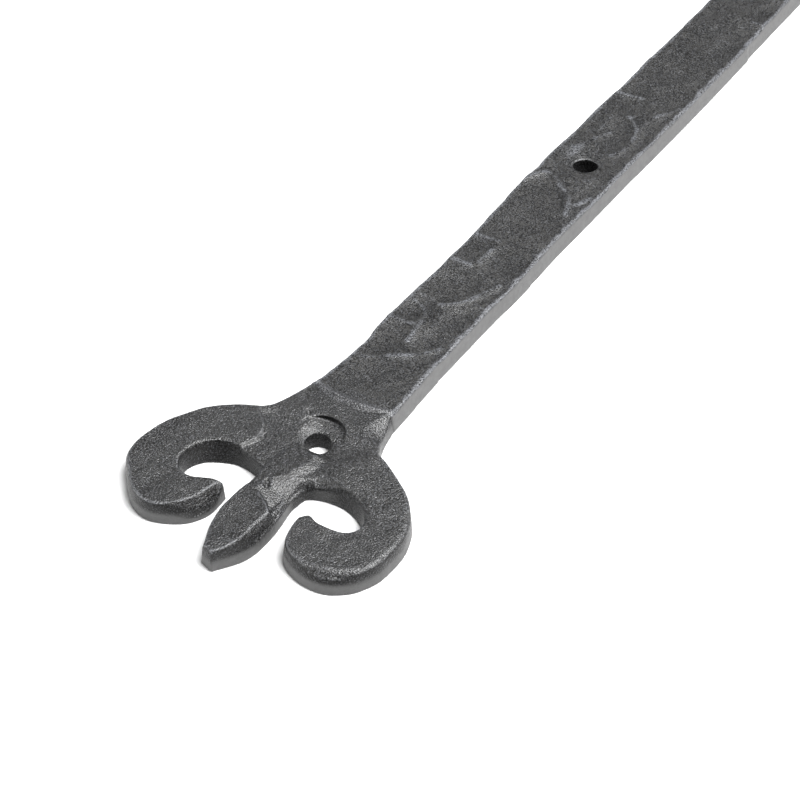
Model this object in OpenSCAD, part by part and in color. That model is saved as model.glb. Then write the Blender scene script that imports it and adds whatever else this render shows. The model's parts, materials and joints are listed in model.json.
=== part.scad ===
// Strap hinge of the T type: a long hammered strap with a fleur finial, turning on a riveted
// pin in a two-knuckle jamb plate. +X runs from the pin to the finial, +Y along the pin, +Z
// away from the door. The origin is below the middle of the pin, on the mounting plane.

/* [Stock] */
// Thickness of the bar and plate stock
stock_t = 5; // [4:0.5:6]

/* [Strap] */
// Reach of the strap, from the pin's axis to the finial's tip
strap_reach = 457; // [300:1:600]
// Width of the strap
strap_w = 17.5; // [16:0.5:20]
// Pitch of the screw holes along the strap
hole_pitch = 114; // [80:0.5:130]
// Diameter of the plain holes in the strap
plain_hole_d = 5.8; // [4:0.1:7]

/* [Finial] */
// Width of the finial over its two scrolls
finial_w = 62.8; // [58:0.2:68]
// Depth of the sunk field round the finial's sink
field_depth = 0.7; // [0.3:0.1:1.5]
// Height of the spear's leaf over the plate
leaf_rise = 0.4; // [0.2:0.1:1]
// Width of the weld bead across the neck
weld_w = 3; // [2:0.2:4]

/* [Screw holes] */
// Diameter of each sunk screw hole
screw_hole_d = 5; // [4:0.1:5.6]
// Diameter of each sink at the face
sink_d = 11; // [9:0.2:12]
// Depth of the shallow sink round the finial's hole
head_sink_t = 1; // [0.5:0.1:2]
// How far the finial's hole is punched ahead of the middle of its sink
punch_ahead = 1.8; // [0:0.1:2]
// How far the finial's hole is punched to one side of the middle of its sink
punch_side = 0.7; // [-1:0.1:1]

/* [Pin and barrel] */
// Diameter of the hinge pin
pin_d = 6; // [5:0.5:8]
// Length of each jamb knuckle
knuckle_w = 20; // [14:1:28]
// Thickness of each thrust washer
washer_t = 1; // [0.8:0.1:1.6]
// Diameter of the pin's forged head
head_d = 11; // [9:0.5:13]

/* [Jamb plate] */
// Height of the plate, along the pin
plate_h = 127; // [110:1:160]
// Width of the plate, from its knuckle shoulder to its free edge
plate_w = 32; // [28:1:40]
// Spacing of the two outer screw holes
outer_spacing = 104; // [84:1:110]
// Spacing of the two inner screw holes
inner_spacing = 62; // [50:1:80]

/* [Hidden] */
$fn = 64;
through = 1;                                  // overshoot of every cut past its face
running_gap = 0.05;                           // radial gap between the pin and the strap's eye
fixed_gap = 0.01;                             // radial gap where the knuckles grip the pin
end_play = 0.1;                               // gap between the eye and each thrust washer
seam_gap = 0.3;                               // slit left where a rolled end meets its own stock
axis_z = stock_t + pin_d / 2;                 // height of the pin's axis over the mounting plane
barrel_r = axis_z;
shoulder_x = -(barrel_r + 1.5);               // edge of the plate beside the strap's eye
washer_y = strap_w / 2 + end_play;            // inner face of each thrust washer
knuckle_y = washer_y + washer_t;              // inner face of each jamb knuckle
barrel_y = knuckle_y + knuckle_w;             // outer face of each jamb knuckle
washer_d = 2 * barrel_r - 1.5;
head_t = 3.2;
rivet_d = 9;
rivet_t = 2.2;
rivet_washer_d = 12.5;
tip_ahead = 42;                               // the spear's tip, ahead of the finial's sink
neck_behind = 12.5;                           // the weld, behind the finial's sink
leaf_start = 20;                              // where the spear's leaf starts, ahead of the finial's sink
stem_w = 8.4;                                 // width of the stem between the field and the leaf
field_r = 11.5;
head_x = strap_reach - tip_ahead;
neck_x = head_x - neck_behind;
plate_sink_t = (sink_d - screw_hole_d) / 2;   // a 90 degree countersink
outer_x = shoulder_x - 9;
inner_x = shoulder_x - 22;
corner_cut = 7;

// The finial's two sides, as [distance ahead of the finial's sink, distance from the middle]. They
// differ a little, because the pattern is carved by hand.
left_neck = [[-12.5, 9.1], [-6, 11.6], [-3, 12.9], [-1, 14.6]];
left_scroll = [[-1, 14.6], [1.4, 19.6], [4.8, 23.8], [9.2, 27], [14, 29.4], [20.4, 30.8], [26.4, 30.2],
               [31.8, 27.4], [35.4, 23.2], [36.8, 19.2], [36, 15.4], [32.8, 11], [28.6, 8.7], [24.2, 8.7]];
left_void = [[24.2, 8.7], [24.2, 11.2], [25.6, 15.4], [24.2, 18.4], [20.4, 20.7], [15.4, 19.7], [12.6, 16],
             [12.2, 11], [14.4, 4.7]];
left_spear = [[14.4, 4.7], [18.6, 4.4], [24, 5], [30, 5], [36, 3.6], [42, 1.1]];
right_neck = [[-12.5, 9.3], [-6, 11.2], [-3, 12.5], [-1, 13.9]];
right_scroll = [[-1, 13.9], [1.8, 17.9], [6.8, 25.4], [11.6, 29.4], [16.5, 31.3], [21.8, 32], [27.6, 31.2],
                [32.4, 29], [35.4, 25], [36.2, 20.2], [34.6, 14.6], [31, 11.8], [26.4, 10.6], [24, 10.8]];
right_void = [[24, 10.8], [22.9, 12.2], [24, 15], [24, 20], [21.6, 23], [17.4, 22.2], [13.2, 19], [11.7, 15],
              [12.8, 9.6], [14.2, 5]];
right_spear = [[14.2, 5], [18.6, 4.8], [24, 5.3], [31, 5.7], [36.4, 4.7], [42, 1.5]];
widen = finial_w / 62.8;

// Points along a smooth curve through its corners, a few to each span
function bend_point(p, q, r, s, t) =
    0.5 * (2 * q + (r - p) * t + (2 * p - 5 * q + 4 * r - s) * t * t + (3 * q - p - 3 * r + s) * t * t * t);
function smooth(c, steps = 5) =
    let (n = len(c) - 1)
    [for (i = [0 : n - 1], k = [0 : steps - 1])
        bend_point(c[max(i - 1, 0)], c[i], c[i + 1], c[min(i + 2, n)], k / steps)];

function side_outline(neck, scroll, hollow, spear) =
    concat(smooth(neck), smooth(scroll), smooth(hollow), smooth(spear), [spear[len(spear) - 1]]);

// One half of the finial's plan, with the middle of its sink at the origin
module half_plan(outline, side) {
    first = outline[0][0];
    last = outline[len(outline) - 1][0];
    polygon(concat([[first, 0]], [for (p = outline) [p[0], side * p[1] * widen]], [[last, 0]]));
}

// The finial's plan, with the middle of its sink at the origin
module finial_plan() {
    half_plan(side_outline(right_neck, right_scroll, right_void, right_spear), 1);
    half_plan(side_outline(left_neck, left_scroll, left_void, left_spear), -1);
}

// A hole through stock, under a sink in a face at that height over the mounting plane. The hole can
// lie off the middle of its sink, as [ahead, aside].
module screw_hole(face, sink_t, off) {
    translate([off[0], off[1], -through]) cylinder(d = screw_hole_d, h = face + through);
    translate([0, 0, face - sink_t]) cylinder(d1 = screw_hole_d, d2 = sink_d, h = sink_t);
    translate([0, 0, face]) cylinder(d = sink_d, h = 2 * through);
}

// Stock rolled round the pin, with a flat tail along +X, centred on the plane y = 0
module rolled_stock(width, tail, gap) {
    rotate([90, 0, 0]) linear_extrude(width, center = true) difference() {
        union() {
            translate([0, axis_z]) circle(r = barrel_r);
            square([tail, stock_t]);
        }
        translate([0, axis_z]) circle(r = pin_d / 2 + gap);
        translate([0.5, stock_t]) square([barrel_r, seam_gap]);
    }
}

// A flat ring round the pin, from y = 0 towards +Y
module pin_ring(outer_d, thickness, gap) {
    translate([0, 0, axis_z]) rotate([-90, 0, 0]) difference() {
        cylinder(d = outer_d, h = thickness);
        translate([0, 0, -through]) cylinder(r = pin_d / 2 + gap, h = thickness + 2 * through);
    }
}

// A low dome on a straight rim, standing on z = 0
module dome(d, h) {
    rim = h * 0.35;
    crown = h - rim;
    ball_r = (d * d / 4 + crown * crown) / (2 * crown);
    cylinder(d = d, h = rim);
    intersection() {
        translate([0, 0, h - ball_r]) sphere(r = ball_r, $fn = 96);
        translate([0, 0, rim / 2]) cylinder(d = d, h = h);
    }
}

// The V under the weld bead, one side of it cut from each of the two pieces
module weld_groove() {
    translate([neck_x, 0, 0]) rotate([90, 0, 0]) linear_extrude(strap_w + 10, center = true)
        polygon([[0, stock_t - weld_w / 2], [weld_w, stock_t + weld_w / 2], [-weld_w, stock_t + weld_w / 2]]);
}

module fleur_finial() {
    color("dimgray") difference() {
        translate([head_x, 0, 0]) difference() {
            union() {
                linear_extrude(stock_t) finial_plan();
                linear_extrude(stock_t + leaf_rise) intersection() {
                    finial_plan();
                    translate([leaf_start, -stem_w]) square([tip_ahead, 2 * stem_w]);
                }
            }
            translate([0, 0, stock_t - field_depth]) linear_extrude(stock_t) difference() {
                translate([2, 0]) circle(r = field_r);
                translate([sink_d / 2 + 0.5, -stem_w / 2]) square([leaf_start, stem_w]);
            }
            screw_hole(stock_t - field_depth, head_sink_t, [punch_ahead, punch_side]);
        }
        weld_groove();
    }
}

module strap_bar() {
    color("darkslategray") difference() {
        union() {
            rolled_stock(strap_w, 3 * barrel_r, running_gap);
            translate([2 * barrel_r, -strap_w / 2, 0]) cube([neck_x - 2 * barrel_r, strap_w, stock_t]);
        }
        for (i = [1 : 3])
            if (head_x - i * hole_pitch > 2 * barrel_r + plain_hole_d)
                translate([head_x - i * hole_pitch, 0, -through])
                    cylinder(d = plain_hole_d, h = stock_t + 2 * through);
        weld_groove();
    }
}

module neck_weld() {
    crown_r = 4 * weld_w;
    half_w = weld_w / 2;
    color("gray") translate([neck_x, 0, 0]) rotate([90, 0, 0])
        linear_extrude(strap_w, center = true) intersection() {
            polygon([[0, stock_t - half_w], [weld_w, stock_t + half_w], [-weld_w, stock_t + half_w]]);
            translate([0, stock_t + 0.4 - crown_r]) circle(r = crown_r, $fn = 128);
        }
}

module jamb_plate() {
    shoulder_w = -shoulder_x;
    color("dimgray") difference() {
        union() {
            for (side = [-1, 1])
                translate([0, side * (knuckle_y + knuckle_w / 2), 0])
                    mirror([1, 0, 0]) rolled_stock(knuckle_w, shoulder_w + 1, fixed_gap);
            linear_extrude(stock_t) polygon([
                [shoulder_x, -plate_h / 2],
                [shoulder_x, plate_h / 2],
                [shoulder_x - plate_w + corner_cut, plate_h / 2],
                [shoulder_x - plate_w, plate_h / 2 - corner_cut],
                [shoulder_x - plate_w, -plate_h / 2 + corner_cut],
                [shoulder_x - plate_w + corner_cut, -plate_h / 2]
            ]);
        }
        for (side = [-1, 1]) {
            translate([outer_x, side * outer_spacing / 2, 0]) screw_hole(stock_t, plate_sink_t, [0, 0]);
            translate([inner_x, side * inner_spacing / 2, 0]) screw_hole(stock_t, plate_sink_t, [0, 0]);
        }
    }
}

module hinge_pin() {
    color("slategray") translate([0, 0, axis_z]) rotate([-90, 0, 0]) {
        translate([0, 0, -barrel_y - washer_t]) cylinder(d = pin_d, h = 2 * barrel_y + washer_t);
        translate([0, 0, barrel_y]) dome(head_d, head_t);
        translate([0, 0, -barrel_y - washer_t]) mirror([0, 0, 1]) dome(rivet_d, rivet_t);
    }
}

module upper_thrust_washer() {
    color("silver") translate([0, washer_y, 0]) pin_ring(washer_d, washer_t, 2 * running_gap);
}

module lower_thrust_washer() {
    color("silver") translate([0, -knuckle_y, 0]) pin_ring(washer_d, washer_t, 2 * running_gap);
}

module rivet_washer() {
    color("silver") translate([0, -barrel_y - washer_t, 0]) pin_ring(rivet_washer_d, washer_t, 2 * running_gap);
}

fleur_finial();
strap_bar();
neck_weld();
jamb_plate();
hinge_pin();
upper_thrust_washer();
lower_thrust_washer();
rivet_washer();
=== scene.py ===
"""Looks for the strap hinge: hammered strap and jamb plate, cast fleur finial, weld, pin and washers.

Each forged or cast piece is described as a field in millimetres that is negative inside the iron
and zero on its skin, and OpenVDB meshes that skin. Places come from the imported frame.
"""

import json
import math

import bpy
import numpy as np
import openvdb
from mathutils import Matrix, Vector


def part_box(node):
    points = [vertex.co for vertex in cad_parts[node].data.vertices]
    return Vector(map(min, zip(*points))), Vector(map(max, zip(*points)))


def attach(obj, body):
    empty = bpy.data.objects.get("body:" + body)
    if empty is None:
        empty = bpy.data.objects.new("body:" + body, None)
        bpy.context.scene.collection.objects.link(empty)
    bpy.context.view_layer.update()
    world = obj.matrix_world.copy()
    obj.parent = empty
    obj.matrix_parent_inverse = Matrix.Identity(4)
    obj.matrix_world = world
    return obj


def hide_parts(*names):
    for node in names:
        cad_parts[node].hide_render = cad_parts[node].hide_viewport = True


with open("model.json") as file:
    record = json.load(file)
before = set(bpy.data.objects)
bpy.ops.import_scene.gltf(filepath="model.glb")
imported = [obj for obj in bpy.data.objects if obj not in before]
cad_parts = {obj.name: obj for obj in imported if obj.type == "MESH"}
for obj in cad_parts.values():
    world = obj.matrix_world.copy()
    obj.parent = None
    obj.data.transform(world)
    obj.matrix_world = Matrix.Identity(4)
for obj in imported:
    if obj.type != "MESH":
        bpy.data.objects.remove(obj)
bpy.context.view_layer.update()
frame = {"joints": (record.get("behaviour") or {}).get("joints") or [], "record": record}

MM = 0.001


# ---------------------------------------------------------------- sizes from the frame, in mm
def mm_box(node):
    low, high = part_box(node)
    return np.array(low) / MM, np.array(high) / MM


mounts = {m["name"]: m for m in frame["record"]["mounts"]}
axis_z = frame["joints"][0]["pos_m"][2] / MM
pitch = mounts["strap_holes"]["dims"]["spacing_x_mm"]
head_x = mounts["pin_end_hole"]["pos_m"][0] / MM + 3 * pitch
bore_s = mounts["head_hole"]["pos_m"][0] / MM - head_x
bore_y = mounts["head_hole"]["pos_m"][1] / MM
screw_r = mounts["head_hole"]["dims"]["r_mm"]
plain_r = mounts["strap_holes"]["dims"]["hole_r_mm"]
plain_holes = [head_x - k * pitch for k in (1, 2, 3)]
stock = mounts["pin_end_hole"]["dims"]["length_mm"]
bar_low, bar_high = mm_box("strap_bar")
plate_low, plate_high = mm_box("jamb_plate")
pin_low, pin_high = mm_box("hinge_pin")
fin_low, fin_high = mm_box("fleur_finial")
weld_low, weld_high = mm_box("neck_weld")
upper_high = mm_box("upper_thrust_washer")[1]
rivet_low, rivet_high = mm_box("rivet_washer")
bar_half = bar_high[1]
neck_x = (weld_low[0] + weld_high[0]) / 2
barrel_r = bar_high[2] - axis_z
pin_r = axis_z - stock
bore_r = pin_r + 0.05
knuckle_in = upper_high[1]
knuckle_out = -rivet_high[1]
sink_r = 5.4


# ---------------------------------------------------------------- fields
def ramp(value, start, end):
    """0 at start, 1 at end, eased at both."""
    t = np.clip((value - start) / (end - start), 0, 1)
    return t * t * (3 - 2 * t)


def rounded(a, b, radius):
    """The part inside both a and b, with its edge rounded."""
    corner = np.hypot(np.maximum(a + radius, 0), np.maximum(b + radius, 0)) - radius
    return np.maximum(corner, np.minimum(np.maximum(a, b), -radius))


def joined(a, b, radius):
    """The part inside a or b, with a fillet between them."""
    h = np.clip(0.5 + 0.5 * (b - a) / radius, 0, 1)
    return b + (a - b) * h - radius * h * (1 - h)


def blended(a, b, share):
    """a where share is 0, b where it is 1."""
    return a + (b - a) * share


def smooth_path(corners, steps=8):
    """Points along a smooth curve through its corners, as the CAD source draws it."""
    c = np.array(corners, float)
    last = len(c) - 1
    out = []
    for i in range(last):
        p, q, r, s = c[max(i - 1, 0)], c[i], c[i + 1], c[min(i + 2, last)]
        for t in np.arange(steps) / steps:
            bend = (3 * q - p - 3 * r + s) * t**3
            out.append(0.5 * (2 * q + (r - p) * t + (2 * p - 5 * q + 4 * r - s) * t * t + bend))
    return out


def plan_distance(x, y, outline):
    """Signed distance in the plan to a closed outline, negative inside."""
    near = np.full(np.broadcast(x, y).shape, 1e9)
    inside = np.zeros(near.shape, bool)
    for (ax, ay), (bx, by) in zip(outline, np.roll(outline, -1, axis=0)):
        ex, ey = bx - ax, by - ay
        t = np.clip(((x - ax) * ex + (y - ay) * ey) / max(ex * ex + ey * ey, 1e-9), 0, 1)
        near = np.minimum(near, (x - ax - t * ex) ** 2 + (y - ay - t * ey) ** 2)
        if ey:
            inside ^= ((ay > y) != (by > y)) & (x < ex * (y - ay) / ey + ax)
    return np.sqrt(near) * np.where(inside, -1, 1)


def line_distance(x, y, corners):
    """Distance in the plan to a smooth open line through its corners."""
    path = np.array(smooth_path(corners, 5) + [np.array(corners[-1], float)])
    near = np.full(np.broadcast(x, y).shape, 1e9)
    for (ax, ay), (bx, by) in zip(path[:-1], path[1:]):
        ex, ey = bx - ax, by - ay
        t = np.clip(((x - ax) * ex + (y - ay) * ey) / (ex * ex + ey * ey), 0, 1)
        near = np.minimum(near, (x - ax - t * ex) ** 2 + (y - ay - t * ey) ** 2)
    return np.sqrt(near)


def lumps(x, y, size, seed):
    """Smooth seeded noise from -1 to 1 over the plan, with lumps about that size across."""
    table = np.random.default_rng(seed).uniform(-1, 1, (61, 61))
    u, v = x / size + 1000.0, y / size + 1000.0
    i, j = np.floor(u).astype(int), np.floor(v).astype(int)
    fu, fv = ramp(u - i, 0, 1), ramp(v - j, 0, 1)
    corner = lambda di, dj: table[(i + di) % 61, (j + dj) % 61]
    near = corner(0, 0) * (1 - fu) + corner(1, 0) * fu
    far = corner(0, 1) * (1 - fu) + corner(1, 1) * fu
    return near * (1 - fv) + far * fv


def cast_skin(x, y, seed):
    """The unevenness of a sand-cast or scaled face, in mm."""
    coarse, middling, fine = lumps(x, y, 5.0, seed), lumps(x, y, 2.1, seed + 1), lumps(x, y, 0.9, seed + 2)
    return 0.10 * coarse + 0.06 * middling + 0.035 * fine


def barrel_skin(x, y, z, uneven, seed):
    """The skin of a barrel rolled round the pin's axis, uneven by that many mm."""
    turn = np.arctan2(z - axis_z, x)
    return np.hypot(x, z - axis_z) - barrel_r + 0.06 + uneven * lumps(turn * barrel_r, y, 5, seed)


def roll_seam(ahead, z):
    """The gap where a roll's end closes on its own flat stock, which lies ahead of the pin's axis."""
    return np.maximum(np.abs(z - stock - 0.22) - 0.24, np.maximum(bore_r - 1 - ahead, ahead - barrel_r - 3))


def hammer_marks(x, y, blows, softness=0.12):
    """Height left by overlapping hammer blows, each (x, y, half length, half width, angle, depth)."""
    height = np.zeros(np.broadcast(x, y).shape)
    for bx, by, length, width, angle, depth in blows:
        c, s = math.cos(math.radians(angle)), math.sin(math.radians(angle))
        u, v = (x - bx) * c + (y - by) * s, (y - by) * c - (x - bx) * s
        bowl = depth * ((u / length) ** 2 + (v / width) ** 2 - 1)
        height = joined(height, bowl, softness)
    return height


def random_blows(x0, x1, y_reach, gap, seed):
    """Blows scattered along a bar or over a plate."""
    rng = np.random.default_rng(seed)
    blows = []
    for bx in np.arange(x0, x1, gap):
        for by in np.arange(-y_reach, y_reach + 0.1, gap * 0.8):
            at = (bx + rng.uniform(-4, 4), by + rng.uniform(-3, 3))
            size = (rng.uniform(6.5, 10), rng.uniform(4.5, 7.5))
            blows.append((*at, *size, rng.uniform(0, 180), rng.uniform(0.25, 0.5)))
    return blows


# ---------------------------------------------------------------- meshing
def convexity(points, quads, rounds):
    """How far each point stands out of its smoothed surroundings, in mm, and the skin's direction there."""
    edges = np.concatenate([quads[:, [0, 1]], quads[:, [1, 2]], quads[:, [2, 3]], quads[:, [3, 0]]])
    edges = np.concatenate([edges, edges[:, ::-1]])
    count = np.bincount(edges[:, 0], minlength=len(points))[:, None]
    mean = points.copy()
    for _ in range(rounds):
        total = np.stack([np.bincount(edges[:, 0], mean[edges[:, 1], k], len(points)) for k in range(3)], 1)
        mean = 0.5 * mean + 0.5 * total / count
    cross = np.cross(points[quads[:, 2]] - points[quads[:, 0]], points[quads[:, 3]] - points[quads[:, 1]])
    shared = [np.bincount(quads.ravel(), np.repeat(cross[:, k], 4), len(points)) for k in range(3)]
    normal = np.stack(shared, 1)
    normal /= np.linalg.norm(normal, axis=1)[:, None] + 1e-12
    return ((points - mean) * normal).sum(1), normal


def meshed(name, field, low, high, step, body, material, nodes, rough_with_painted_shade=None, no_rub_or_highlight=None, painted_highlights=None):
    """A piece whose skin is where field is zero. It rides on body and stands for those CAD nodes.

    Its rough-and-shade function gives, at each point, 0 where a steep face is made smoother and gets a colour
    of painted light, and 1 or more where it is rough and painted dark with shade.
    Its function for unmarked places gives, over the plan, 1 where no edge gets the wear colour with a painted
    highlight, and its highlight function gives the painted highlights added elsewhere.
    """
    low, high, step = np.array(low, float), np.array(high, float), np.array(step, float)
    low, high = low - 2 * step, high + 2 * step
    ticks = [np.arange(low[k], high[k] + step[k], step[k]) for k in range(3)]
    x, y, z = ticks[0][:, None, None], ticks[1][None, :, None], ticks[2][None, None, :]
    values = np.broadcast_to(field(x, y, z), [len(t) for t in ticks])
    grid = openvdb.FloatGrid(1.0)
    grid.copyFromArray(np.ascontiguousarray(values, np.float32))
    points, quads = grid.convertToQuads(isovalue=0.0)
    points = points.astype(float) * step + low
    quads = quads.astype(int)
    corners = points[quads]
    cross = np.cross(corners[:, 2] - corners[:, 0], corners[:, 3] - corners[:, 1])
    if (cross * corners.mean(1)).sum() < 0:
        quads = quads[:, ::-1]
    mesh = bpy.data.meshes.new(name)
    mesh.from_pydata((points * MM).tolist(), [], quads.tolist())
    mesh.shade_smooth()
    ridge, normal = convexity(points, quads, 6)
    steep = 1 - ramp(normal[:, 2], 0.15, 0.5)
    # roughness that also carries painted shade: where it is high, the colour is painted dark as shade
    rough = rough_with_painted_shade(*points.T) if rough_with_painted_shade else 0
    # wear colour with a painted highlight on convex ridges that face upwards
    rubbed_and_highlighted = ridge * ramp(normal[:, 2], 0.25, 0.6)
    if no_rub_or_highlight:
        rubbed_and_highlighted = rubbed_and_highlighted * (1 - 0.8 * no_rub_or_highlight(points[:, 0], points[:, 1]))
    if painted_highlights:
        rubbed_and_highlighted = rubbed_and_highlighted + painted_highlights(points[:, 0], points[:, 1])
    sloping = 1 - ramp(normal[:, 2], 0.5, 0.85)
    # looks: wear with painted highlights on ridges, painted light on smoother steep faces, painted shade in
    # rough places
    looks = {"ridge": rubbed_and_highlighted, "dressed_and_painted_light": steep * np.clip(1 - rough, 0, 1), "rough_with_painted_shade": sloping * rough}
    for label, values in looks.items():
        layer = mesh.attributes.new(label, "FLOAT", "POINT")
        layer.data.foreach_set("value", values.astype(np.float32))
    mesh.materials.append(material)
    piece = bpy.data.objects.new(name, mesh)
    bpy.context.scene.collection.objects.link(piece)
    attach(piece, body)
    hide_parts(*nodes)


# ---------------------------------------------------------------- materials
class Skin:
    """A material, and its nodes. Its noises are in the object's own millimetres."""

    def __init__(self, name, seed):
        self.material = bpy.data.materials.new(name)
        self.material.use_nodes = True
        self.nodes, self.links = self.material.node_tree.nodes, self.material.node_tree.links
        self.shader = self.nodes["Principled BSDF"].inputs
        place = self.nodes.new("ShaderNodeTexCoord")
        self.space = self.nodes.new("ShaderNodeMapping")
        self.space.inputs["Scale"].default_value = (1 / MM,) * 3
        self.space.inputs["Location"].default_value = (seed, seed * 2, seed * 3)
        self.links.new(place.outputs["Object"], self.space.inputs["Vector"])

    def noise(self, per_mm, detail, rough):
        n = self.nodes.new("ShaderNodeTexNoise")
        n.inputs["Scale"].default_value = per_mm
        n.inputs["Detail"].default_value = detail
        n.inputs["Roughness"].default_value = rough
        self.links.new(self.space.outputs["Vector"], n.inputs["Vector"])
        return n.outputs["Fac"]

    def attribute(self, label):
        n = self.nodes.new("ShaderNodeAttribute")
        n.attribute_name = label
        return n.outputs["Fac"]

    def math(self, kind, *values):
        """One sum of sockets and numbers."""
        m = self.nodes.new("ShaderNodeMath")
        m.operation = kind
        for socket, value in zip(m.inputs, values):
            if isinstance(value, (int, float)):
                socket.default_value = value
            else:
                self.links.new(value, socket)
        return m.outputs[0]

    def remap(self, value, from_low, from_high, to_low=0, to_high=1):
        m = self.nodes.new("ShaderNodeMapRange")
        m.interpolation_type = "SMOOTHSTEP"
        self.links.new(value, m.inputs["Value"])
        m.inputs["From Min"].default_value = from_low
        m.inputs["From Max"].default_value = from_high
        m.inputs["To Min"].default_value = to_low
        m.inputs["To Max"].default_value = to_high
        return m.outputs["Result"]

    def mix(self, factor, a, b):
        """Colour a where factor is 0, b where it is 1."""
        m = self.nodes.new("ShaderNodeMix")
        m.data_type = "RGBA"
        self.links.new(factor, m.inputs["Factor"])
        for key, v in (("A", a), ("B", b)):
            socket = [s for s in m.inputs if s.name == key and s.type == "RGBA"][0]
            if isinstance(v, tuple):
                socket.default_value = (*v, 1)
            else:
                self.links.new(v, socket)
        return [s for s in m.outputs if s.type == "RGBA"][0]


def iron(name, dark, light, burnish_and_highlight, side, grain_and_glint=1.0, shine=0.0, seed=0.0):
    """Black waxed iron: a mottled, gritty skin, with a wear colour and a painted highlight on its upward
    ridges, painted glints on its specks, and painted shade in its rough hollows.

    Its smoother steep faces take the side colour, which is painted light.
    """
    skin = Skin(name, seed)
    shader = skin.shader
    dressed_and_painted_light, rough_with_painted_shade = skin.attribute("dressed_and_painted_light"), skin.attribute("rough_with_painted_shade")
    raw = skin.math("SUBTRACT", 1.0, dressed_and_painted_light)
    patches = skin.noise(0.11, 3, 0.6)
    mottle = skin.noise(0.8, 3, 0.6)
    grit = skin.noise(2.6, 2, 0.5)
    speck = skin.noise(3.6, 0, 0.5)
    # colour: the mottled skin, a wear colour with a painted highlight on its ridges, painted glints on its
    # specks, painted shade in rough hollows, and a colour of painted light on smoother walls
    tone = skin.math("MULTIPLY_ADD", mottle, 0.25, skin.math("MULTIPLY", patches, 0.2))
    tone = skin.math("MULTIPLY_ADD", grit, 0.55, tone)
    base = skin.mix(skin.remap(tone, 0.44, 0.60), dark, light)
    # wear colour with a painted highlight along the ridges
    ridge = skin.remap(skin.attribute("ridge"), 0.008, 0.07)
    rubbed_and_highlighted = skin.math("MULTIPLY", ridge, skin.remap(grit, 0.42, 0.56, 0.1, 0.7))
    # painted glints: specks painted lighter as if they caught the light
    painted_glint = skin.math("MULTIPLY", skin.remap(speck, 0.55, 0.70), 0.6 * grain_and_glint)
    worn_and_highlighted = skin.math("MULTIPLY", skin.math("MINIMUM", skin.math("ADD", rubbed_and_highlighted, painted_glint), 1.0), raw)
    colour = skin.mix(worn_and_highlighted, base, burnish_and_highlight)
    # painted shade: rough hollows, the walls of holes and the upper walls are darkened towards the dark
    # colour
    colour = skin.mix(skin.math("MULTIPLY", rough_with_painted_shade, 0.5), colour, dark)
    shade = skin.math("MULTIPLY_ADD", mottle, 0.5, skin.math("MULTIPLY", grit, 0.5))
    # a colour of painted light for the smoother steep faces, mottled lighter and darker
    darker, lighter = (tuple(share * c for c in side) for share in (0.78, 1.22))
    walls_painted_light = skin.mix(skin.remap(shade, 0.40, 0.60), darker, lighter)
    colour = skin.mix(skin.math("MULTIPLY", dressed_and_painted_light, 0.92), colour, walls_painted_light)
    skin.links.new(colour, shader["Base Color"])
    # sheen
    rough = skin.math("MULTIPLY_ADD", grit, 0.5, 0.10 - shine)
    skin.links.new(skin.math("MULTIPLY_ADD", dressed_and_painted_light, 0.12, rough), shader["Roughness"])
    skin.links.new(skin.math("MULTIPLY_ADD", rough_with_painted_shade, -0.33, 0.5), shader["Specular IOR Level"])
    shader["Metallic"].default_value = 0.0
    shader["IOR"].default_value = 1.7
    # grit, in relief
    bump = skin.nodes.new("ShaderNodeBump")
    bump.inputs["Distance"].default_value = 0.2 * MM * grain_and_glint
    skin.links.new(skin.math("MULTIPLY_ADD", raw, 0.85, 0.15), bump.inputs["Strength"])
    height = skin.math("MULTIPLY_ADD", mottle, 0.35, skin.math("MULTIPLY_ADD", speck, 0.6, grit))
    skin.links.new(height, bump.inputs["Height"])
    skin.links.new(bump.outputs["Normal"], shader["Normal"])
    return skin.material


black = (0.004, 0.004, 0.004)
grey = (0.032, 0.0315, 0.03)
# rub colours, here and below: wear on ridges with a painted highlight in it
rub_and_highlight = (0.14, 0.145, 0.16)
# side colours, here and below: painted light for steep walls, set lighter or darker than the faces above them
wall_painted_light = (0.040, 0.040, 0.040)
bar_side_painted_light = (0.058, 0.058, 0.058)
plate_side_painted_light = (0.06, 0.06, 0.06)
finial_grey = (0.021, 0.0205, 0.0195)
finial_rub_and_highlight = (0.12, 0.123, 0.133)
strap_grey = (0.042, 0.041, 0.039)
strap_rub_and_highlight = (0.16, 0.166, 0.182)
weld_dark = (0.012, 0.012, 0.013)
weld_light = (0.06, 0.06, 0.063)
weld_rub_and_highlight = (0.2, 0.205, 0.22)
washer_grey = (0.05, 0.05, 0.052)
finial_iron = iron("cast_iron_waxed", black, finial_grey, finial_rub_and_highlight, wall_painted_light)
strap_iron = iron("hammered_iron_waxed", black, strap_grey, strap_rub_and_highlight, bar_side_painted_light, grain_and_glint=0.6, seed=7)
plate_iron = iron("hammered_plate_waxed", black, grey, rub_and_highlight, plate_side_painted_light, grain_and_glint=0.7, seed=13)
weld_iron = iron("weld_iron_waxed", weld_dark, weld_light, weld_rub_and_highlight, wall_painted_light, grain_and_glint=0.9, seed=19)
pin_iron = iron("pin_iron_waxed", black, grey, rub_and_highlight, grey, grain_and_glint=0.6, shine=0.06, seed=23)
washer_iron = iron("washer_iron_waxed", black, washer_grey, rub_and_highlight, wall_painted_light, grain_and_glint=0.5, shine=0.08, seed=29)


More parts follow.
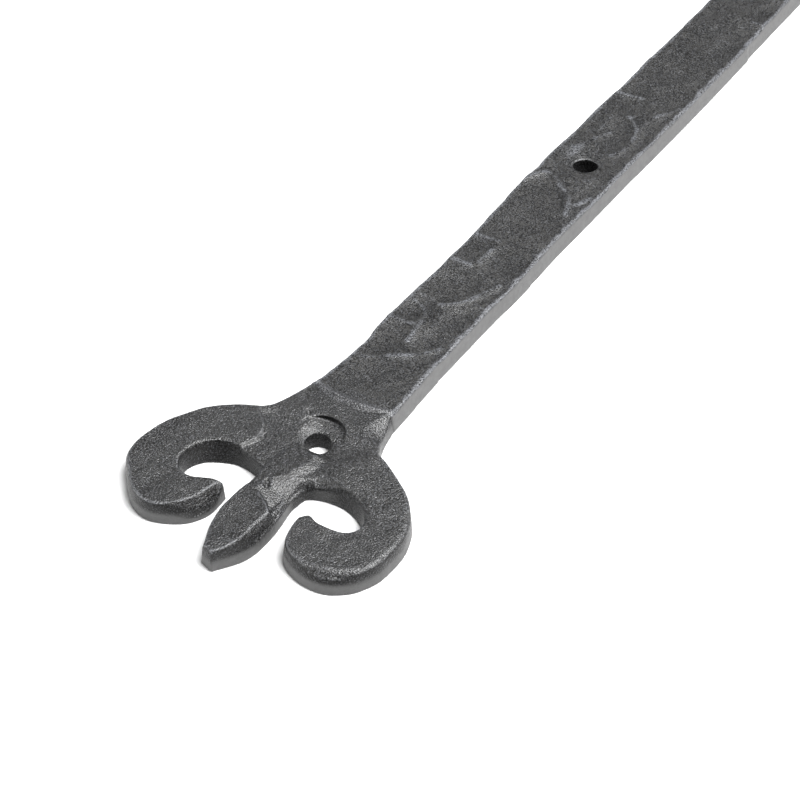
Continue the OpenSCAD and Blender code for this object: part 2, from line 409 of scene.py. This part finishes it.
# ---------------------------------------------------------------- the finial
# All of it is in (s, y): s ahead of the sink, y from the middle. The two sides give y as positive both ways.
left_side = [
    [(-15.5, 9.6), (-12.5, 10.4), (-6, 12.3), (-3, 13.4), (-1, 15.1)],
    [(-1, 15.1), (1.2, 19.7), (4.6, 24.0), (9.1, 27.2), (13.9, 29.7), (20.4, 31.0), (26.3, 30.3),
     (31.1, 26.8), (34.9, 22.9), (36.5, 19.2), (36.0, 15.1), (33.2, 10.5), (28.7, 8.2), (23.4, 8.3)],
    [(23.4, 8.3), (23.4, 11), (25.2, 15.4), (24.2, 18.8), (20.4, 20.4), (15.6, 19.4), (12.8, 16), (12.3, 11),
     (14.4, 4.7)],
    [(14.4, 4.7), (18.6, 4.0), (24, 4.4), (30, 4.4), (36, 3.0), (41.2, 0.9)],
]
right_side = [
    [(-15.5, 9.7), (-12.5, 9.85), (-6, 11.3), (-3, 12.7), (-1, 14.0)],
    [(-1, 14.0), (1.4, 18.3), (6.7, 25.5), (11.6, 29.4), (16.4, 31.5), (21.8, 32.1), (27.7, 31.5), (32.4, 29),
     (35.4, 25), (35.9, 20.2), (34.2, 15.1), (31, 12.0), (26.4, 10.7), (24, 10.5)],
    [(24, 10.5), (22.3, 12.2), (23.5, 15), (23.3, 20), (21.0, 22.7), (17.4, 22.2), (13.5, 19), (12, 15),
     (12.8, 9.6), (14.3, 5.2)],
    [(14.3, 5.2), (18.6, 4.8), (24, 5.6), (31, 5.9), (36.6, 5.0), (42.2, 1.85)],
]
left_arm = [(-2.4, -34), (-1.8, -17.2), (0.0, -15.2), (1.6, -13.2), (3.4, -11.2), (5.8, -10.1), (8.5, -9.9),
            (10.6, -10.9), (12.4, -11.9), (16, -12), (24, -7), (40, -7), (40, -34)]
right_arm = [(-3, 35), (-2.0, 14), (-0.8, 12.4), (2, 11), (5, 9.7), (8.2, 8.8), (10.5, 8.5), (12.6, 8.6),
             (20, 12), (22, 8), (40, 8), (40, 35)]
stem_left = [(5.4, 0.4), (6.4, -2.2), (8.4, -3.6), (12, -4.2), (16, -4.3), (22, -4.3)]
stem_crest = [(5.2, 2.7), (6.6, 3.5), (9.2, 3.5), (11.6, 2.7), (13.7, 1.6), (15.8, 0.6), (17.7, -0.5),
              (19.4, -1.3), (24, -2.0)]
leaf_top = [(21.0, -7), (20.9, -3.8), (21.2, -2.2), (21.9, -0.6), (22.9, 1.2), (24.2, 3.2), (25.8, 4.9),
            (27, 8), (46, 8), (46, -7)]
left_scroll_crest = [(23.6, -9.1), (25.7, -9.6), (27.8, -10.1), (29.9, -10.7), (32, -11.8), (34.1, -13.4),
                     (35.9, -15.6), (38, -18), (42, -12), (36, -6), (26, -5.5)]
pits = [(-4.4, -5.6), (19.4, -0.2), (18.4, -0.7)]


def side_points(curves, sign):
    """Points down one side of the finial, from the neck to the tip of its leaf."""
    points = [point for curve in curves for point in smooth_path(curve)] + [curves[-1][-1]]
    return [(s, sign * y) for s, y in points]


finial_outline = np.array(side_points(left_side, -1) + side_points(right_side, 1)[::-1])


def spot(s, y, at, size):
    """1 at a place, fading to 0 around it."""
    return np.exp(-(((s - at[0]) / size[0]) ** 2) - ((y - at[1]) / size[1]) ** 2)


def turned(u, v):
    """A place in the plan, along and across the slant on which the holes are punched out of round."""
    return 0.85 * u + 0.53 * v, 0.85 * v - 0.53 * u


def stem_height(s, y):
    """The leaf's stem: a dark face from its left foot up to its crest, a bright slope down to the right."""
    crest_y = np.interp(s, *zip(*stem_crest))
    foot_y = np.interp(s, *zip(*stem_left))
    rise = 0.4 * ramp(y, foot_y - 0.2, foot_y + 0.7) + 0.45 * np.clip((y - foot_y) / (crest_y - foot_y), 0, 1)
    fall = np.clip((y - crest_y - 0.45 * lumps(s, y, 2.4, 33)) / 3.4, 0, 1.5)
    return stock - 0.7 + rise - 1.1 * fall**1.25


def edge_rounding(s, y, edge):
    """How far the face drops near its outline, more in some places than in others."""
    right_rim = spot(s, y, (33, 25), (4.5, 5.5)) + 0.4 * spot(s, y, (24, 32), (7, 4))
    right_rim = np.minimum(right_rim + 0.3 * spot(s, y, (13, 30), (6, 4)), 1)
    shoulder = spot(s, y, (-6.5, 10), (4.5, 4.5))
    arm_edge = spot(s, y, (13, 9), (3, 3.5))
    void_edge = 0.2 * spot(s, y, (13, -15), (3.5, 5)) + 0.5 * spot(s, y, (14, 18), (4, 5))
    leaf_edge = spot(s, y, (31, 5.5), (8, 2.5))
    reach = 0.6 + 1.3 * right_rim + 4.2 * shoulder + 2.8 * arm_edge + 1.9 * void_edge + 0.5 * leaf_edge
    depth = 0.35 - 0.28 * crisp(s, y) + 0.55 * right_rim + 1.5 * shoulder + 1.1 * arm_edge
    depth = depth + 0.2 * void_edge + 0.2 * leaf_edge
    return depth * np.clip(1 + edge / reach, 0, 1.2) ** (2.2 - 0.9 * shoulder - 0.9 * arm_edge)


def crisp(s, y):
    """1 at the left loop's far edge, which is nearly sharp."""
    return spot(s, y, (12.5, -15), (4, 8))


def finial_height(s, y, edge):
    """Height of the finial's face. edge is the distance to its outline, negative inside."""
    rim = stock - 0.05
    height = rim - 0.6 * ramp(s, -4.5, 2.5)
    height = height + 0.3 * spot(s, y, (7, 8), (4, 3)) - 0.8 * spot(s, y, (5.2, 3.2), (2.0, 1.8))
    neck_rim = ramp(edge, -3.2, -0.6) * ramp(-s, -4, 1) * (y < 0)
    height = blended(height, rim, neck_rim)
    height = blended(height, stock, ramp(-plan_distance(s, y, left_arm), -0.45, 0.6))
    height = blended(height, rim, ramp(-plan_distance(s, y, right_arm), -3.0, 2.5))
    stem = stem_height(s, y)
    nose = ramp(s, 4.6, 7.2) * ramp(7 - np.abs(y), 0, 1) * ramp(-s, -24, -20)
    height = blended(height, np.maximum(stem, height), nose)
    height = blended(height, stem, ramp(s, 12.8, 15.2) * ramp(8 - np.abs(y), 0, 0.5))
    leaf = stock + 0.1 - 0.25 * ramp(s, 36, 42) + 0.04 * y
    height = blended(height, leaf, ramp(-plan_distance(s, y, leaf_top), -0.3, 0.4) * (np.abs(y) < 8))
    height = height - edge_rounding(s, y, edge)
    height = height - 1.35 * np.clip(-plan_distance(s, y, left_scroll_crest), 0, 2.2)
    for pit in pits:
        height = height - 0.9 * spot(s, y, pit, (0.55, 0.6))
    return height + cast_skin(s, y, 3)


def finial_hole(s, y, z):
    """The round sink with its uneven floor, and the hole punched off its middle. Negative inside either."""
    along, across = turned(s - bore_s, y - bore_y)
    from_bore = np.hypot(along, across * (1 + 0.06 * z))
    slope = 0.02 + 0.4 * ramp(-y, 0.8, 3) * ramp(s, -2.5, 0.8) + 0.22 * ramp(s, -1, 3) * np.clip(y / 3, 0, 1)
    bottom = 3.2 + 0.3 * ramp(-s, -1, 2) + 1.0 * spot(s, y, (-2.9, -4.3), (2.5, 2.4))
    bottom = bottom + slope * np.maximum(from_bore - 3.0, 0)
    dish = np.maximum(np.hypot(s, y) - sink_r - 0.15 * lumps(s, y, 2.5, 41), bottom - z)
    bore = from_bore - screw_r - 0.1 - 0.2 * z
    return np.minimum(dish, bore)


def finial_field(x, y, z):
    """The casting: its face, on walls that spread towards the back, with a groove and a bevel in places."""
    s = x - head_x
    edge = plan_distance(s, y, finial_outline) + 0.08 * lumps(s, y, 3.0, 31)
    far_walls = 1.6 * spot(s, y, (14, -16.5), (4.5, 6)) + 1.1 * spot(s, y, (13.5, 17), (4, 5))
    draft = 0.45 + far_walls + 0.9 * spot(s, y, (15, 5), (4, 1.6)) + 0.55 * spot(s, y, (30, 6), (12, 3))
    draft = draft + 0.3 * spot(s, y, (32, 22), (8, 12))
    side = edge - draft * (1 - z / stock)
    bevel = 1.0 * spot(s, y, (31.5, 5.5), (6, 2.2)) + 0.9 * spot(s, y, (35, 24), (3.5, 6.5))
    groove = spot(s, y, (20, 5), (6, 1.6)) + spot(s, y, (32.5, 13), (4, 3.2))
    groove = np.minimum(groove + 0.7 * spot(s, y, (28, 6), (5, 1.6)), 1)
    side = side + bevel * np.clip((z - 2.7) / 2.2, 0, 1) + 0.28 * groove * np.exp(-(((z - 3.1) / 0.4) ** 2))
    body = rounded(side, z - finial_height(s, y, edge + bevel), 0.3 - 0.17 * crisp(s, y))
    body = rounded(body, -z + 0.04 * lumps(s, y, 2.5, 37), 0.3)
    return np.maximum(body, -finial_hole(s, y, z))


def finial_rough_and_painted_shade(x, y, z):
    """Rough, and painted dark with shade, in the top of the walls and inside the holes; made smoother, with a
    colour of painted light, on the rest of the walls.
    """
    return np.maximum(ramp(z, 1.7, 3.2), finial_inside(x, y))


def finial_inside(x, y):
    """1 in and around the two loops and the sink."""
    s = x - head_x
    loops = np.minimum(np.hypot((s - 16) / 9, (np.abs(y) - 14) / 9.5), np.hypot(s, y) / 6.5)
    return (1 - ramp(loops, 0.9, 1.05)) * (1 - spot(s, y, (10.6, 9), (2.6, 3.2)))


meshed("finial_casting", finial_field, (fin_low[0] - 3, fin_low[1] - 0.6, 0),
       (fin_high[0] + 1, fin_high[1] + 0.6, 6.2), step=(0.28, 0.28, 0.24), body="strap",
       material=finial_iron, nodes=["fleur_finial"], rough_with_painted_shade=finial_rough_and_painted_shade, no_rub_or_highlight=finial_inside)


# ---------------------------------------------------------------- the strap
# Near the finial the blows and the raised ridges, which take the wear colour and painted highlight, have
# places of their own, as distances behind the sink, and y.
# The rest of the blows are scattered. Each blow is (behind, y, half length, half width, angle, depth).
strap_blows = [
    (20, 1, 9, 10, 0, 0.25), (33, -5.5, 7, 5, 10, 0.5), (37, 5, 7, 5, -20, 0.45), (46, -5, 5.5, 4.5, 20, 0.5),
    (47, 5.5, 6, 4, 0, 0.4), (58, -2, 8, 6, 10, 0.5), (61, 7, 6, 4, 0, 0.35), (71, 4, 8, 6, 0, 0.4),
    (74, -6, 8, 4.5, 0, 0.45), (85, 0, 9, 8, 15, 0.4), (98, -3.5, 9, 7.5, 0, 0.5), (104, 7, 8, 3.5, 0, 0.4),
    (117, 2, 8, 7, 0, 0.3), (128, 0.5, 9, 4.6, -12, 0.5), (127, -7, 8, 3, 0, 0.3), (131, 7, 9, 3.2, 0, 0.35),
    (143, -4, 8, 6, 0, 0.4), (150, 5, 8, 5, 0, 0.45), (161, -2, 8, 8, 0, 0.35),
]
strap_ridges = [
    [(29, -1), (31, 2), (32.5, 3.5)],
    [(34, 5), (37, 7)],
    [(41, -8.6), (41, -3.2)],
    [(48.5, -6.7), (46.6, -3), (39.5, -1.1), (35.7, -0.6)],
    [(50.1, -0.7), (54.9, 3.6), (63.1, 6.5)],
    [(68, -1.6), (73.3, -1.6)],
    [(66, -7), (66, -3)],
    [(77, -7.5), (77, -2)],
    [(101.6, -9.5), (106.1, -6.5), (105.4, -3.1), (103.4, -1), (100.6, 2.8), (93.8, 6)],
    [(98.3, 5.9), (102.6, 7.5)],
    [(124.6, -3.3), (128.7, -1.5)],
    [(136.4, -0.3), (131.6, 4), (125.4, 5.1), (120.5, 3.5)],
    [(145, -7), (145.5, -2)],
    [(140, 5), (146, 8)],
]
# Half widths of the drawn-out bar, as (behind the sink, from the middle), on its two sides
left_edge = [(12, 10.6), (16, 9.6), (20, 9.15), (25, 8.6), (31, 8.45), (36, 9.05), (41, 9.05), (48, 8.9),
             (56, 8.75), (61, 8.4), (68, 8.65), (78, 8.7), (86, 8.95), (92, 9.15), (99, 9.6), (107, 9.25),
             (114, 9.45), (124, 9.1), (136, 9.2), (142, 9.0), (149, 8.65), (160, 8.8), (169, 8.6),
             (178, 8.4), (190, 8.7), (205, 8.4), (230, 8.7), (260, 8.4), (300, 8.6), (500, 8.65)]
right_edge = [(12, 10.0), (20, 9.6), (28, 9.2), (33, 9.05), (48, 8.95), (56, 8.9), (67, 9.15), (75, 9.0),
              (84, 8.7), (94, 8.85), (112, 8.95), (124, 9.05), (136, 9.35), (150, 9.45), (165, 9.5),
              (185, 9.1), (210, 8.8), (500, 8.7)]


def half_width(behind, corners):
    """The bar's half width on one side, from that side's corners."""
    path = np.array(smooth_path(corners, 6))
    return np.interp(behind, path[:, 0], path[:, 1])


def strap_field(x, y, z):
    """The hammered bar and the eye rolled at its end, which is closed against the bar along a seam."""
    behind = head_x - x
    near_side = y - half_width(behind, right_edge) - 0.1 - 0.09 * (stock - z)
    near_side = near_side - 0.06 * lumps(x, 0, 9, 43) - 0.04 * lumps(x, 0, 2.5, 44)
    far_side = -y - half_width(behind, left_edge) - 0.05
    far_side = far_side - 0.05 * lumps(x, 0, 7, 47) - 0.03 * lumps(x, 0, 2.2, 48)
    flat = ramp(x, 14, 26)
    near_side = near_side * flat + (y - bar_half + 0.03) * (1 - flat)
    far_side = far_side * flat + (-y - bar_half + 0.03) * (1 - flat)
    side = np.maximum(near_side, far_side)
    blows = hammer_marks(behind, y, strap_blows)
    scattered = hammer_marks(x, y, random_blows(12, head_x - 168, 5, 12, 53))
    marks = blows * ramp(-behind, -172, -160) + scattered * ramp(behind, 160, 172)
    ridges = sum(0.26 * np.exp(-(line_distance(behind, y, line) ** 2)) for line in strap_ridges)
    dimples = sum(0.5 * np.exp(-((np.hypot(x - at, y + 1.2) / 4.2) ** 2)) for at in plain_holes)
    face = stock - 0.02 + marks * flat + ridges - dimples + 0.7 * cast_skin(x, y, 59)
    bar = rounded(side, z - face, 0.35)
    bar = rounded(bar, -z + 0.04 * lumps(x, y, 3, 61), 0.35)
    bar = np.maximum(bar, np.maximum(-x, x - neck_x - 0.4))
    eye = rounded(barrel_skin(x, y, z, 0.10, 67), side, 0.5)
    strap = np.maximum(np.minimum(bar, eye), -roll_seam(x, z))
    strap = np.maximum(strap, bore_r - np.hypot(x, z - axis_z))
    for at in plain_holes:
        along, across = turned(x - at, y)
        strap = np.maximum(strap, plain_r - np.hypot(1.12 * along, across))
    return strap


def strap_holes_near(x, y):
    """1 in and around each plain hole."""
    near = [np.hypot(x - at, y) for at in plain_holes]
    return 1 - ramp(np.minimum.reduce(near), plain_r + 0.6, plain_r + 1.2)


def strap_hole_painted_shade(x, y, z):
    """Painted shade: black and rough inside the plain holes."""
    return 1.5 * strap_holes_near(x, y)


def strap_painted_highlights(x, y):
    """Painted highlights on the dents beside the first plain hole and at the bar's edge, over the plan."""
    behind = head_x - x
    return 0.05 * (spot(behind, y, (117, -5.2), (3.6, 1.9)) + spot(behind, y, (99.5, 6.8), (3.2, 1.4)))


meshed("strap_forging", strap_field, (bar_low[0], bar_low[1] - 1.9, 0),
       (neck_x + 0.4, bar_high[1] + 1.9, bar_high[2]), step=(0.56, 0.45, 0.36), body="strap",
       material=strap_iron, nodes=["strap_bar"], rough_with_painted_shade=strap_hole_painted_shade,
       no_rub_or_highlight=strap_holes_near, painted_highlights=strap_painted_highlights)


# ---------------------------------------------------------------- the weld across the neck
def weld_field(x, y, z):
    """A bowed bead, sunk into the iron on both sides of the joint."""
    bow = 1.6 * (1 - (y / bar_half) ** 2)
    across = x - neck_x + 0.7 - bow + 0.2 * lumps(x * 0, y, 2.2, 71)
    width = 1.5 + 0.25 * lumps(x * 0, y, 3.1, 73)
    crown = stock + 0.5 - 0.62 * np.sqrt(across**2 + 0.05) / width + 0.06 * lumps(x, y, 1.3, 79)
    crown = crown - 0.2 * (y / bar_half) ** 6
    bead = np.maximum(z - crown, stock - 1.2 - z)
    return rounded(bead, np.abs(y) - bar_half - 0.9, 0.6)


meshed("neck_weld_bead", weld_field, (weld_low[0] - 1, weld_low[1] - 1.1, 3.6),
       (weld_high[0] + 1, weld_high[1] + 1.1, 5.8), step=(0.2, 0.25, 0.15), body="strap",
       material=weld_iron, nodes=["neck_weld"])


# ---------------------------------------------------------------- the jamb plate
plate_screws = [(mounts[n]["pos_m"][0] / MM, side * mounts[n]["dims"]["spacing_y_mm"] / 2)
                for n in ("jamb_outer_holes", "jamb_inner_holes") for side in (-1, 1)]
plate_blows = random_blows(-48, -4, 60, 11, 83)
corner_cut = 7
countersink_z = 2.0


def plate_field(x, y, z):
    """The hammered plate, with its corners cut off and two knuckles rolled from tails of its front edge."""
    shoulder = -(barrel_r + 1.5)
    left, top = plate_low[0], plate_high[1]
    outline = [(shoulder, -top), (shoulder, top), (left + corner_cut, top), (left, top - corner_cut),
               (left, -top + corner_cut), (left + corner_cut, -top)]
    plan = plan_distance(x, y, np.array(outline)) + 0.25 + 0.18 * lumps(x, y, 8, 89)
    height = stock - 0.02 + hammer_marks(x, y, plate_blows) + 0.7 * cast_skin(x, y, 97)
    plate = rounded(plan, z - height, 0.8)
    plate = rounded(plate, -z + 0.04 * lumps(x, y, 3, 101), 0.35)
    middle = (knuckle_in + knuckle_out) / 2
    ends = np.abs(np.abs(y) - middle) - (knuckle_out - knuckle_in) / 2 + 0.02
    tail = np.maximum(np.maximum(x, shoulder - 1 - x), np.maximum(z - stock + 0.05, -z))
    roll = np.minimum(rounded(barrel_skin(x, y, z, 0.12, 103), ends, 0.5), rounded(tail, ends, 0.5))
    body = joined(plate, roll, 0.4)
    body = np.maximum(body, -np.maximum(roll_seam(-x, z), ends - 1))
    body = np.maximum(body, pin_r + 0.02 - np.hypot(x, z - axis_z))
    sink = np.maximum(screw_r, screw_r + (z - countersink_z) + 0.1 * lumps(x, y, 4, 107))
    for sx, sy in plate_screws:
        body = np.maximum(body, sink - np.hypot(x - sx, y - sy))
    return body


meshed("jamb_plate_forging", plate_field, (plate_low[0], plate_low[1], 0), plate_high,
       step=(0.42, 0.42, 0.35), body="jamb", material=plate_iron, nodes=["jamb_plate"])


# ---------------------------------------------------------------- the pin and washers
def pin_field(x, y, z):
    """The shank, with a head forged at one end and the other end spread over its washer."""
    out = np.hypot(x, z - axis_z)
    turn = np.arctan2(z - axis_z, x)
    shank = np.maximum(out - pin_r + 0.02, np.maximum(y - knuckle_out - 1, pin_low[1] + 1 - y))
    facets = 0.22 * np.cos(5 * turn) * ramp(out, 0.5, 5)
    head = y - pin_high[1] + 0.05 + (out / 5.5) ** 2 * 1.9 + facets * 0.4
    head = rounded(head, out - pin_high[0] + 0.12 + facets * 0.5, 0.6)
    head = rounded(head, knuckle_out - y, 0.3)
    rivet = pin_low[1] + 0.05 - y + (out / 4.5) ** 2 * 1.3 + 0.1 * np.cos(4 * turn + 1)
    rivet = rounded(rivet, out - 4.4 + 0.15 * np.cos(3 * turn), 0.5)
    rivet = np.maximum(rivet, y - rivet_low[1])
    return np.minimum(shank, np.minimum(head, rivet))


meshed("pin_forging", pin_field, pin_low, pin_high, step=(0.25, 0.3, 0.25), body="jamb",
       material=pin_iron, nodes=["hinge_pin"])


def washer(name, node):
    """A flat washer with worn edges, filling its CAD node's box."""
    low, high = mm_box(node)
    middle, half, rim = (low[1] + high[1]) / 2, (high[1] - low[1]) / 2, high[0]

    def field(x, y, z):
        out = np.hypot(x, z - axis_z)
        ring = np.maximum(out - rim + 0.08 + 0.05 * lumps(x, z, 3, 109), pin_r + 0.1 - out)
        return rounded(ring, np.abs(y - middle) - half + 0.01, 0.22)

    meshed(name, field, low, high, step=(0.22, 0.12, 0.22), body="jamb",
           material=washer_iron, nodes=[node])


washer("upper_washer", "upper_thrust_washer")
washer("lower_washer", "lower_thrust_washer")
washer("rivet_end_washer", "rivet_washer")


# ---------------------------------------------------------------- floor, light and camera
table = bpy.data.materials.new("white_table")
table.use_nodes = True
table_shader = table.node_tree.nodes["Principled BSDF"]
table_shader.inputs["Base Color"].default_value = (0.9, 0.9, 0.9, 1)
table_shader.inputs["Roughness"].default_value = 0.7

reach = 6.0
corners = [(-reach, -reach, 0), (reach, -reach, 0), (reach, reach, 0), (-reach, reach, 0)]
floor_mesh = bpy.data.meshes.new("floor")
floor_mesh.from_pydata(corners, [], [(0, 1, 2, 3)])
floor_mesh.materials.append(table)
floor = bpy.data.objects.new("floor", floor_mesh)
bpy.context.scene.collection.objects.link(floor)


def aim(thing, direction):
    """Turn a lamp or the camera to look in that direction."""
    thing.rotation_mode = "QUATERNION"
    thing.rotation_quaternion = direction.to_track_quat("-Z", "Y")


def softbox(name, offset, size, power):
    """A soft lamp at that offset from the finial, which it faces."""
    light = bpy.data.lights.new(name, "AREA")
    light.shape = "RECTANGLE"
    light.size, light.size_y = size
    light.energy = power
    lamp = bpy.data.objects.new(name, light)
    bpy.context.scene.collection.objects.link(lamp)
    lamp.location = subject + Vector(offset)
    aim(lamp, -Vector(offset))


subject = Vector((head_x * MM, 0, 0))
softbox("main_softbox", (-0.2, 0.5, 1.15), (0.9, 0.9), 38)
softbox("right_softbox", (-0.2, 1.3, 0.35), (0.8, 0.4), 3)
softbox("left_softbox", (0.6, -1.1, 0.3), (0.8, 0.4), 9)

world = bpy.data.worlds.new("studio")
world.use_nodes = True
sky = world.node_tree.nodes["Background"]
sky.inputs["Color"].default_value = (1, 1, 1, 1)
sky.inputs["Strength"].default_value = 0.2
bpy.context.scene.world = world
bpy.context.scene.view_settings.view_transform = "Standard"

camera_data = bpy.data.cameras.new("camera")
camera_data.lens = 124.6
camera_data.sensor_width = 36
camera_data.clip_start = 0.01
camera = bpy.data.objects.new("camera", camera_data)
bpy.context.scene.collection.objects.link(camera)
camera.location = subject + Vector((0.3626, 0.2461, 0.3761 + stock * MM))
aim(camera, Vector((-0.64981, -0.40571, -0.6428)))
bpy.context.scene.camera = camera
